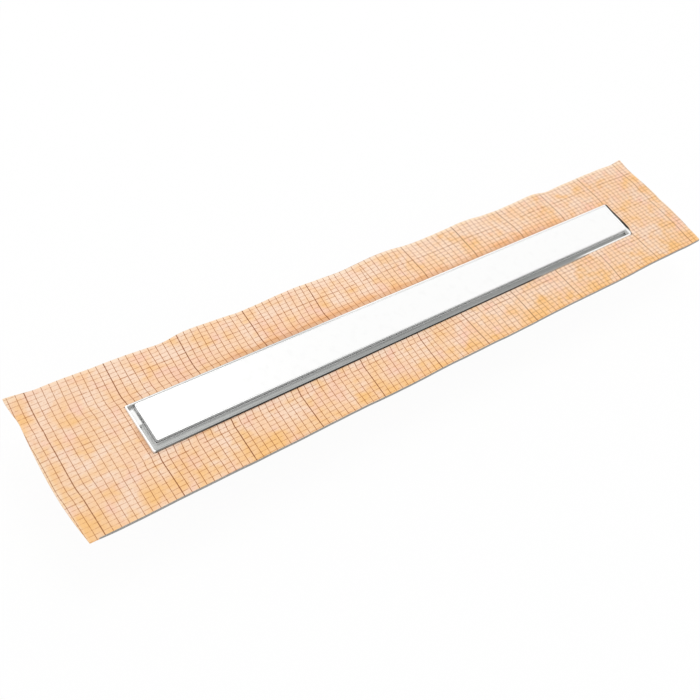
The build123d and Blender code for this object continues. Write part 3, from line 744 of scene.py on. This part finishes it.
def collar_height(x, y, s):
    """How far the loose sheet stands off its flat level at a place."""
    bond_x = flange_high.x - s.bond_edge
    bond_y = flange_high.y - s.bond_edge
    far = ease((y - bond_y) / (collar_high.y - bond_y))
    near = ease((-y - bond_y) / (-collar_low.y - bond_y))
    left = ease((-x - bond_x) / (-collar_low.x - bond_x))
    right = ease((x - bond_x) / (collar_high.x - bond_x))
    turn = 2 * math.pi
    far_wave = s.wave_height * between(x, CALM_LEFT) * between(x, CALM_RIGHT)
    rise = far_wave * far * math.cos(turn * x / s.wave_length)
    rise += s.near_wave_height * near * math.sin(turn * x / s.near_wave_length + NEAR_WAVE_PHASE)
    rise += s.end_wave_height * left * math.sin(turn * y / s.end_wave_length + END_WAVE_PHASE)
    rise += (s.left_flick * left + s.right_flick * right) * far ** FLICK_SHARPNESS
    rise -= s.tuck_drop * far * tucked(x, s)
    if y < 0:
        beside = ease(1 - (s.window_tight - y) / CLIMB_WIDTH)
        rise += s.window_rise * beside * ease((-s.window_left - abs(x)) / CLIMB_ENDS)
    loose = max(far, near, left, right)
    crumple = noise.noise(Vector((x, y, 0.0)) / s.crumple_size)
    fine_place = Vector((x, y, s.crumple_size)) / (FINE_CRUMPLE_SIZE * s.crumple_size)
    crumple += FINE_CRUMPLE * noise.noise(fine_place)
    return rise + s.crumple_height * loose * crumple


def collar_place(x, y, s):
    """Where a point of the straight-cut sheet comes to lie, seen from above."""
    past_left = max(0.0, (s.window_left - x) / (s.window_left - collar_low.x))
    past_right = max(0.0, (x - s.window_right) / (collar_high.x - s.window_right))
    past_near = max(0.0, (s.window_near - y) / (s.window_near - collar_low.y))
    past_far = max(0.0, (y - s.window_far) / (collar_high.y - s.window_far))
    along = (x - collar_low.x) / (collar_high.x - collar_low.x)
    middle = (collar_low.y + collar_high.y) / 2
    half = (collar_high.y - collar_low.y) / 2
    bow = s.end_bow * (BOW_LEVEL - ((y - middle) / half + BOW_SHIFT) ** 2)
    dent = math.exp(-(((y - s.dent_place) / s.dent_size) ** 2))
    slant = s.askew * max(y - middle, -s.square_from)
    far_edge = s.far_reach - s.far_trim * between(x, TRIMMED_LEFT) - s.tuck_depth * tucked(x, s)
    moved_x = x + past_left * (s.left_dent * dent - bow) - past_right * (s.right_dent * dent + slant)
    moved_y = y + past_near * (s.near_taper * along ** 2 - s.near_reach) + past_far * far_edge
    pulls = (
        (collar_low.x, collar_high.y, s.far_left),
        (collar_high.x, collar_high.y, s.far_right),
        (collar_low.x, collar_low.y, s.near_left),
        (collar_high.x, collar_low.y, s.near_right),
    )
    for corner_x, corner_y, pull in pulls:
        close = ease(1 - math.hypot(x - corner_x, y - corner_y) / s.corner_reach)
        moved_x += pull[0] * close
        moved_y += pull[1] * close
    if s.window_near <= y < s.window_near + ROW_SLACK * s.cell:
        clear_of_bead = 1.0 if x <= s.window_left else ease((x - s.bead_stop) / BEAD_RUN_OUT)
        moved_y += (s.window_tight - s.window_near) * clear_of_bead
    return moved_x, moved_y


def divided(stops, cell):
    """Stops with even steps of about one cell between them, and the places of the stops in the list."""
    places, marks = [stops[0]], [0]
    for start, end in zip(stops, stops[1:]):
        count = max(1, round((end - start) / cell))
        places += [start + (end - start) * k / count for k in range(1, count + 1)]
        marks.append(len(places) - 1)
    return places, marks


# Columns at the left end whose near edge keeps its fleece instead of the painted contact shadow, and the
# angle past which an edge is sharp
FLEECE_COLUMNS = 3
COLLAR_SHARP = math.radians(50)


def collar_mesh(s):
    """The sheet with its window, as thick as the CAD collar and turned down along its near edge."""
    lip = collar_low.y + s.lip_reach
    x_stops = (collar_low.x, s.window_left, s.window_right, collar_high.x)
    y_stops = (collar_low.y, lip, s.window_near, s.window_far, collar_high.y)
    columns, (_, left, right, _) = divided(x_stops, s.cell)
    rows, (_, _, near, far, _) = divided(y_stops, s.cell)
    printed, plain, core = range(3)
    build = bmesh.new()
    layers = []
    for level in (collar_high.z, collar_low.z):
        grid = {}
        for i, x in enumerate(columns):
            for j, y in enumerate(rows):
                if left < i < right and near < j < far:
                    continue
                px, py = collar_place(x, y, s)
                # The near edge turns down to carry its painted contact shadow
                drop = s.lip_height * ease((x - collar_low.x) / s.corner_reach) if j == 0 else 0.0
                grid[i, j] = build.verts.new((px, py, level + collar_height(px, py, s) - drop))
        layers.append(grid)
    cells = [
        (i, j)
        for i in range(len(columns) - 1)
        for j in range(len(rows) - 1)
        if not (left <= i < right and near <= j < far)
    ]
    ring = ((0, 0), (1, 0), (1, 1), (0, 1))
    # An edge that two cells share cancels out, which leaves the outer edges and the window's
    sides = {}
    for i, j in cells:
        corners = [(i + a, j + b) for a, b in ring]
        for face_finish, grid in zip((printed, plain), layers):
            face = build.faces.new([grid[c] for c in corners])
            face.material_index = core if j == 0 and i >= FLEECE_COLUMNS else face_finish
        for start, end in zip(corners, corners[1:] + corners[:1]):
            if sides.pop((end, start), None) is None:
                sides[start, end] = True
    top, under = layers
    for start, end in sides:
        face = build.faces.new((top[start], top[end], under[end], under[start]))
        near_edge = start[1] == end[1] == 0
        face.material_index = core if near_edge and start[0] >= FLEECE_COLUMNS else plain
    return finish_mesh("sealing_collar", build, COLLAR_SHARP)


class DRAIN_OT_lay_collar(bpy.types.Operator):
    """Lay the printed fleece collar round the rim"""

    bl_idname = "drain.lay_collar"
    bl_label = "Lay sealing collar"

    def execute(self, context):
        s = context.scene.drain_collar
        finishes = (printed_fleece(s), plain_fleece(s), painted_edge_shadow(s))
        collar = new_piece("sealing_collar", collar_mesh(s), finishes)
        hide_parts("membrane_collar")
        return {"FINISHED"}


# Channel, tray and cover


# Brush marks and clouds of the steel, the painted highlight on the rim and the painted light on the ledge
# beside the tray
BRUSH_MARKS = Zone(0.3, 0.7)
BRUSH_DETAIL = 3.0
BRUSH_DEPTH = 0.00003
STEEL_CLOUDS = Patches(0.03, 0.35, 0.7, high=0.25)
# Painted highlight on the far side of the rim, fainter towards the left
FAR_RIM_HIGHLIGHT = Zone(-0.21, -0.08, 0.45, 1.0)
NEAR_RIM_RUN = 0.05
# Where the painted light on the ledge reaches into the far left corner, and how light it is
LIT_CORNER_FROM = 0.021
LIT_CORNER_TO = 0.024
LIT_LEDGE_AMOUNT = 0.9
LEDGE_SLACK = 0.0003
LIP_SOFT = 0.0003

# Weld beads: rings in one ripple, sides, how blunt the ends are and how far a ripple swells
WELD_STEPS = 4
WELD_SIDES = 10
WELD_TIP = 0.05
WELD_BLUNTNESS = 8
WELD_SWELL = 0.14
WELD_SHARP = math.radians(60)

# White panel and black bond tape
PANEL_COAT = {"Coat Weight": 0.2, "Coat Roughness": 0.1}
PANEL_DUST = Patches(0.012, 0.5, 0.75, detail=5.0)
PANEL_RIPPLE = {"size": 0.004, "depth": 0.00002, "detail": 3.0}
BUTYL_SURFACE = {"Specular IOR Level": 0.2}
BUTYL_BLOOM = Zone(0.3, 0.7)
BUTYL_ROUGHNESS = Zone(0.0, 1.0, 0.45, 0.8)
BUTYL_DENTS = {"depth": 0.0003, "detail": 3.0}
NEAR_BEAD_SIDE = -0.033
# Where the near bead is painted lighter at its left end
NEAR_BEAD_LEFT_LIGHT = Zone(-0.43, -0.35, 0.4, 0.0)
NEAR_BEAD_END = 0.44
RIGHT_BEAD_START = 0.449
# Painted highlight on the inner edge of the right bead, wider at its near corner
GLINT_CORNER_FROM = -0.026
GLINT_CORNER_TO = -0.018
GLINT_CORNER = 0.0013
GLINT_SOFT = Zone(-0.0002, 0.0002, 1.0, 0.0)
GLINT_FAR_END = Zone(0.0, 0.014, 1.0, 0.0)


def brushed_steel(name, s, light, dark, bright, is_bright):
    """Brushed stainless steel, its marks along the channel and across its ends, with bright places: on the
    channel a painted highlight on the rim and painted light on the ledge, on the tray its white coat.
    """
    finish = Finish(name, {})
    draw = s.grain / s.grain_length
    lengthwise = finish.noise(s.grain, BRUSH_DETAIL, stretch=(draw, 1.0, 1.0))
    crosswise = finish.noise(s.grain, BRUSH_DETAIL, stretch=(1.0, draw, 1.0))
    at_end = finish.above(finish.away(finish.x), s.recess_end)
    marks = finish.blend(at_end, lengthwise, crosswise)
    steel = finish.mix(finish.fade(marks, *BRUSH_MARKS), dark[:], light[:])
    steel = finish.mix(finish.patches(STEEL_CLOUDS), steel, dark[:])
    # On the channel this is the painted highlight and the painted light, on the tray its white coat
    coat_and_highlight = is_bright(finish, s, at_end)
    finish.feed("Base Color", finish.mix(coat_and_highlight, steel, bright[:]))
    finish.feed("Metallic", finish.fade(coat_and_highlight, 0.0, 1.0, s.metal, s.rim_metal))
    finish.feed("Roughness", finish.fade(coat_and_highlight, 0.0, 1.0, s.roughness, s.rim_roughness))
    finish.bump(marks, BRUSH_DEPTH)
    return finish.material


def painted_rim_and_ledge_light(finish, s, at_end):
    """1 on the rim's ends, its far side and the right part of its near side, a painted highlight for the
    rim's reflection, and on the ledge beside the tray and in the far left corner, painted light that lifts
    the shade under the tray.
    """
    far_side = finish.above(finish.y, s.recess_side)
    far_side = finish.times(far_side, finish.fade(finish.x, *FAR_RIM_HIGHLIGHT))
    near_side = finish.below(finish.y, -s.recess_side)
    near_run = finish.fade(finish.x, s.bright_from, s.bright_from + NEAR_RIM_RUN)
    near_side = finish.times(near_side, near_run)
    raised = finish.above(finish.z, s.rim_level)
    rim = finish.times(finish.largest(at_end, far_side, near_side), raised)
    left_of_tray = finish.minus(tray_low.x, finish.x)
    past_tray = finish.largest(left_of_tray, finish.minus(tray_low.y, finish.y))
    reach = finish.fade(finish.y, LIT_CORNER_FROM, LIT_CORNER_TO, s.lit_ledge_reach, s.lit_ledge_corner)
    # Painted light on the ledge, lightest at the tray's edge and under it
    painted = finish.fade(past_tray, 0.0, reach, LIT_LEDGE_AMOUNT, 0.0)
    on_ledge = finish.below(finish.away(finish.z, s.ledge_level), LEDGE_SLACK)
    return finish.largest(rim, finish.times(painted, on_ledge))


def coated_tray(finish, s, at_end):
    """1 on the tray's coated lip, less on its walls, where the coat is thin at the left, 0 below it."""
    walls = finish.fade(finish.x, s.thin_coat_from, s.thin_coat_to, s.thin_coat, 1.0)
    coat = finish.fade(finish.z, s.lip_level - LIP_SOFT, s.lip_level + LIP_SOFT, walls, 1.0)
    return finish.times(coat, finish.above(finish.z, s.coat_level))


def white_panel(s):
    """Smooth white with a faint dust on it."""
    finish = Finish("panel_white", {"Roughness": s.roughness, **PANEL_COAT})
    finish.feed("Base Color", finish.mix(finish.patches(PANEL_DUST), s.white[:], s.dust[:]))
    finish.grain(**PANEL_RIPPLE)
    return finish.material


def squeezed_butyl(s):
    """Black bond tape, its near bead painted lighter towards both ends and the inner edge of its right bead
    painted with the rim's bright highlight.
    """
    finish = Finish("butyl_black", BUTYL_SURFACE)
    bloom = finish.fade(finish.noise(s.butyl_grain), *BUTYL_BLOOM)
    tail = finish.fade(finish.x, s.lit_bead_from, s.lit_bead_to)
    # Near bead painted lighter towards both ends, painted light that leads into the rim's highlight
    thin = finish.times(
        finish.plus(tail, finish.fade(finish.x, *NEAR_BEAD_LEFT_LIGHT)),
        finish.below(finish.y, NEAR_BEAD_SIDE),
        finish.below(finish.x, NEAR_BEAD_END),
    )
    # Painted highlight on the inner edge of the right bead
    glint_to = finish.fade(finish.y, GLINT_CORNER_FROM, GLINT_CORNER_TO, s.glint_edge + GLINT_CORNER, s.glint_edge)
    wiped = finish.times(
        finish.fade(finish.minus(finish.x, glint_to), *GLINT_SOFT),
        finish.above(finish.x, RIGHT_BEAD_START),
        finish.fade(finish.y, *GLINT_FAR_END),
    )
    toned = finish.mix(bloom, s.butyl[:], s.butyl_light[:])
    toned = finish.mix(thin, toned, s.tail[:])
    finish.feed("Base Color", finish.mix(wiped, toned, s.glint[:]))
    finish.feed("Roughness", finish.fade(bloom, *BUTYL_ROUGHNESS))
    finish.grain(s.butyl_grain, **BUTYL_DENTS)
    return finish.material


def weld_bead(build, start, end, radius, ripple):
    """A rippled bead of weld from one point to another, closed at its ends."""
    path = end - start
    side = path.orthogonal().normalized()
    other = path.normalized().cross(side)
    steps = max(WELD_STEPS, round(WELD_STEPS * path.length / ripple))
    angles = [2 * math.pi * m / WELD_SIDES for m in range(WELD_SIDES)]
    rings = []
    for k in range(steps + 1):
        along = k / steps
        rounded = math.sqrt(max(WELD_TIP, 1 - (2 * along - 1) ** WELD_BLUNTNESS))
        wave = abs(math.sin(math.pi * path.length * along / ripple))
        reach = radius * rounded * (1 - WELD_SWELL + WELD_SWELL * wave)
        centre = start + path * along
        places = [centre + reach * (side * math.cos(a) + other * math.sin(a)) for a in angles]
        rings.append([build.verts.new(place) for place in places])
    bridge(build, rings)
    build.faces.new(rings[0])
    build.faces.new(rings[-1])


class DRAIN_OT_dress_channel(bpy.types.Operator):
    """Give the channel and its brackets brushed steel, and weld the brackets on"""

    bl_idname = "drain.dress_channel"
    bl_label = "Dress channel"

    def execute(self, context):
        s = context.scene.drain_steel
        steel = brushed_steel("channel_brushed_steel", s, s.light, s.dark, s.bright, painted_rim_and_ledge_light)
        dress(("channel_body", "leg_brackets"), steel)
        bracket_edges = (
            bracket_low.x,
            bracket_low.x + s.bracket_length,
            bracket_high.x - s.bracket_length,
            bracket_high.x,
        )
        build = bmesh.new()
        for x in bracket_edges:
            for y in (-s.trough_side, s.trough_side):
                foot = Vector((x, y, bracket_low.z + s.weld_radius))
                head = Vector((x, y, bracket_high.z - s.weld_radius))
                weld_bead(build, foot, head, s.weld_radius, s.weld_ripple)
        mesh = finish_mesh("bracket_welds", build, WELD_SHARP)
        new_piece("bracket_welds", mesh, (steel,))
        return {"FINISHED"}


class DRAIN_OT_dress_cover(bpy.types.Operator):
    """Give the tray, its white panel, the strainer and the bond tape their finishes"""

    bl_idname = "drain.dress_cover"
    bl_label = "Dress cover"

    def execute(self, context):
        steel = context.scene.drain_steel
        s = context.scene.drain_cover
        light, dark = steel.tray_light, steel.tray_dark
        tray = brushed_steel("tray_brushed_steel", steel, light, dark, s.white, coated_tray)
        dress(("cover_tray", "hair_strainer"), tray)
        dress(("cover_panel",), white_panel(s))
        dress(("bond_tape",), squeezed_butyl(s))
        return {"FINISHED"}


# Trap, outlet and legs


# Tone, shine and grain of the mouldings
MOULDING_TONE = Patches(0.02, 0.35, 0.7, detail=3.0)
MOULDING_SHINE = Patches(0.006, 0.3, 0.7)
SHINE_SPREAD = 0.08
GRAIN_DEPTH = 0.00008
GREY_ROUGHNESS = 0.5
WHITE_ROUGHNESS = 0.42
RUBBER_ROUGHNESS = 0.72

# Zinc plating, and the width of a thread's groove as a share of its pitch
ZINC_PATCHES = Patches(0.006, 0.35, 0.68, detail=4.0)
ZINC_ROUGHNESS = Zone(0.0, 1.0, 0.28, 0.45)
GROOVE_WIDTH = 0.8
THREAD_SHARP = math.radians(40)


def moulded(name, base, s, grain, roughness):
    """A moulding with a fine grain and a little variation in its colour."""
    finish = Finish(name, {})
    darker = (*(value * (1 - s.variation) for value in base[:3]), 1.0)
    shine = MOULDING_SHINE._replace(low=roughness - SHINE_SPREAD, high=roughness + SHINE_SPREAD)
    finish.feed("Base Color", finish.mix(finish.patches(MOULDING_TONE), base[:], darker))
    finish.feed("Roughness", finish.patches(shine))
    finish.grain(grain, GRAIN_DEPTH)
    return finish.material


class DRAIN_OT_dress_trap(bpy.types.Operator):
    """Give the trap, its outlet, the seals, the spacer and the cover's feet their mouldings and rubber"""

    bl_idname = "drain.dress_trap"
    bl_label = "Dress trap"

    def execute(self, context):
        s = context.scene.drain_moulding
        grey = moulded("moulding_grey", s.grey, s, s.fine_grain, GREY_ROUGHNESS)
        white = moulded("moulding_white", s.white, s, s.fine_grain, WHITE_ROUGHNESS)
        rubber = moulded("rubber_black", s.rubber, s, s.rubber_grain, RUBBER_ROUGHNESS)
        dress(("cover_feet", "clamp_ring", "dip_tube", "trap_cup", "outlet_nut"), grey)
        dress(("trap_housing", "outlet_spigot", "end_spacer"), white)
        dress(("mouth_gasket", "dip_seal_ring", "outlet_seal", "foot_pads"), rubber)
        return {"FINISHED"}


def zinc_plate(s):
    """Zinc plating with its cloudy patches."""
    finish = Finish("zinc_plate", {"Metallic": 1.0})
    patch = finish.patches(ZINC_PATCHES)
    finish.feed("Base Color", finish.mix(patch, s.zinc_light[:], s.zinc_dark[:]))
    finish.feed("Roughness", finish.fade(patch, *ZINC_ROUGHNESS))
    return finish.material


def threaded_bolt(build, x, y, s):
    """One levelling bolt: a helical thread, tapered ends and a key socket in its top."""
    radius = s.diameter / 2
    height = bolt_high.z - bolt_low.z
    count = round(height / s.pitch * s.steps)
    angles = [2 * math.pi * m / s.segments for m in range(s.segments)]
    rings = []
    for k in range(count + 1):
        z = height * k / count
        taper = s.depth * (1 - ease(min(z, height - z) / s.lead_in))
        ring = []
        for m, angle in enumerate(angles):
            turn = (z / s.pitch - m / s.segments) % 1.0
            groove = s.depth * max(0.0, 1 - abs(2 * turn - 1) / GROOVE_WIDTH)
            reach = radius - max(groove, taper)
            place = (x + reach * math.cos(angle), y + reach * math.sin(angle), bolt_low.z + z)
            ring.append(build.verts.new(place))
        rings.append(ring)
    bridge(build, rings)
    build.faces.new(rings[0])
    corner_reach = s.socket / math.sqrt(3)
    flat = math.pi / 3
    mouth, floor = [], []
    for angle in angles:
        reach = corner_reach * math.cos(flat / 2) / math.cos(angle % flat - flat / 2)
        place = (x + reach * math.cos(angle), y + reach * math.sin(angle))
        mouth.append(build.verts.new((*place, bolt_high.z)))
        floor.append(build.verts.new((*place, bolt_high.z - s.socket_depth)))
    bridge(build, (rings[-1], mouth, floor))
    build.faces.new(floor)


class DRAIN_OT_stand_legs(bpy.types.Operator):
    """Cut threads on the levelling bolts and give them and their nuts a zinc finish"""

    bl_idname = "drain.stand_legs"
    bl_label = "Stand legs"

    def execute(self, context):
        s = context.scene.drain_legs
        zinc = zinc_plate(s)
        dress(("lock_nuts", "levelling_bolts"), zinc)
        build = bmesh.new()
        radius = s.diameter / 2
        for x in (bolt_low.x + radius, bolt_high.x - radius):
            for y in (bolt_low.y + radius, bolt_high.y - radius):
                threaded_bolt(build, x, y, s)
        mesh = finish_mesh("threaded_bolts", build, THREAD_SHARP)
        bolts = new_piece("threaded_bolts", mesh, (zinc,))
        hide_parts("levelling_bolts")
        return {"FINISHED"}


# Stage


def seen_directly(tree):
    """1 for rays from the camera, a mirror or glass, 0 for rays that light a surface."""
    path = add_node(tree, "ShaderNodeLightPath", {})
    total = path.outputs["Is Camera Ray"]
    for name in ("Is Glossy Ray", "Is Transmission Ray"):
        both = {0: total, 1: path.outputs[name]}
        total = add_node(tree, "ShaderNodeMath", both, operation="MAXIMUM").outputs[0]
    return total


def pale_floor(s):
    """A pale floor, washed out towards white where it is seen, which keeps a soft shadow."""
    material = bpy.data.materials.new("stage_floor")
    material.use_nodes = True
    tree = material.node_tree
    tree.nodes.clear()
    matt = add_node(tree, "ShaderNodeBsdfDiffuse", {"Color": s.floor_white[:]}).outputs[0]
    white = add_node(tree, "ShaderNodeEmission", {}).outputs[0]
    lift = {0: seen_directly(tree), 1: s.floor_lift}
    factor = add_node(tree, "ShaderNodeMath", lift, operation="MULTIPLY").outputs[0]
    washed = add_node(tree, "ShaderNodeMixShader", {0: factor, 1: matt, 2: white}).outputs[0]
    add_node(tree, "ShaderNodeOutputMaterial", {"Surface": washed})
    return material


def white_surroundings(scene, s):
    """Soft light from all round, seen as white."""
    world = bpy.data.worlds.new("studio")
    world.use_nodes = True
    tree = world.node_tree
    light = tree.nodes["Background"]
    light.inputs["Color"].default_value = (1.0, 1.0, 1.0, 1.0)
    inputs = {"Value": seen_directly(tree), "To Min": s.ambient, "To Max": 1.0}
    strength = add_node(tree, "ShaderNodeMapRange", inputs).outputs[0]
    tree.links.new(strength, light.inputs["Strength"])
    scene.world = world


def lay_floor(s):
    """A square floor under the drain."""
    build = bmesh.new()
    bmesh.ops.create_grid(build, x_segments=1, y_segments=1, size=s.floor_size / 2)
    mesh = bpy.data.meshes.new("floor")
    build.to_mesh(mesh)
    build.free()
    mesh.materials.append(pale_floor(s))
    floor = put_in_scene("floor", mesh)
    floor.location.z = cad_low.z


def hang_lamp(s):
    """One soft lamp, turned to the drain."""
    key = bpy.data.lights.new("key", "AREA")
    key.energy = s.key_power
    key.size = s.key_size
    lamp = put_in_scene("key", key)
    lamp.location = s.key_place
    lamp.rotation_euler = (-Vector(s.key_place)).to_track_quat("-Z", "Y").to_euler()


def stand_camera(scene, s):
    """The camera, from the near left."""
    camera = put_in_scene("camera", bpy.data.cameras.new("camera"))
    camera.data.lens = s.lens
    camera.data.sensor_width = s.sensor
    camera.location = s.camera_place
    camera.rotation_euler = s.camera_turn
    scene.camera = camera


class DRAIN_OT_set_stage(bpy.types.Operator):
    """Set the floor, the soft light and the camera"""

    bl_idname = "drain.set_stage"
    bl_label = "Set stage"

    def execute(self, context):
        scene = context.scene
        s = scene.drain_stage
        lay_floor(s)
        white_surroundings(scene, s)
        hang_lamp(s)
        stand_camera(scene, s)
        scene.view_settings.view_transform = "Standard"
        return {"FINISHED"}


GROUPS = {
    "drain_collar": CollarSettings,
    "drain_steel": SteelSettings,
    "drain_cover": CoverSettings,
    "drain_moulding": MouldingSettings,
    "drain_legs": LegSettings,
    "drain_stage": StageSettings,
}
OPERATORS = (
    DRAIN_OT_set_stage,
    DRAIN_OT_dress_channel,
    DRAIN_OT_dress_cover,
    DRAIN_OT_lay_collar,
    DRAIN_OT_dress_trap,
    DRAIN_OT_stand_legs,
)


class DRAIN_PT_sidebar(bpy.types.Panel):
    """Steps and sizes of the drain's looks"""

    bl_idname = "DRAIN_PT_sidebar"
    bl_label = "Linear shower drain"
    bl_space_type = "VIEW_3D"
    bl_region_type = "UI"
    bl_category = "Drain"

    def draw(self, context):
        column = self.layout.column()
        for operator in OPERATORS:
            column.operator(operator.bl_idname)
        for name, group in GROUPS.items():
            box = self.layout.box()
            box.label(text=group.__doc__)
            for prop in group.__annotations__:
                box.prop(getattr(context.scene, name), prop)


def register():
    for name, group in GROUPS.items():
        bpy.utils.register_class(group)
        setattr(bpy.types.Scene, name, PointerProperty(type=group))
    for operator in OPERATORS:
        bpy.utils.register_class(operator)
    bpy.utils.register_class(DRAIN_PT_sidebar)


def unregister():
    bpy.utils.unregister_class(DRAIN_PT_sidebar)
    for operator in reversed(OPERATORS):
        bpy.utils.unregister_class(operator)
    for name, group in reversed(GROUPS.items()):
        delattr(bpy.types.Scene, name)
        bpy.utils.unregister_class(group)


def main():
    register()
    bpy.ops.drain.set_stage()
    bpy.ops.drain.dress_channel()
    bpy.ops.drain.dress_cover()
    bpy.ops.drain.lay_collar()
    bpy.ops.drain.dress_trap()
    bpy.ops.drain.stand_legs()


if __name__ == "__main__":
    main()
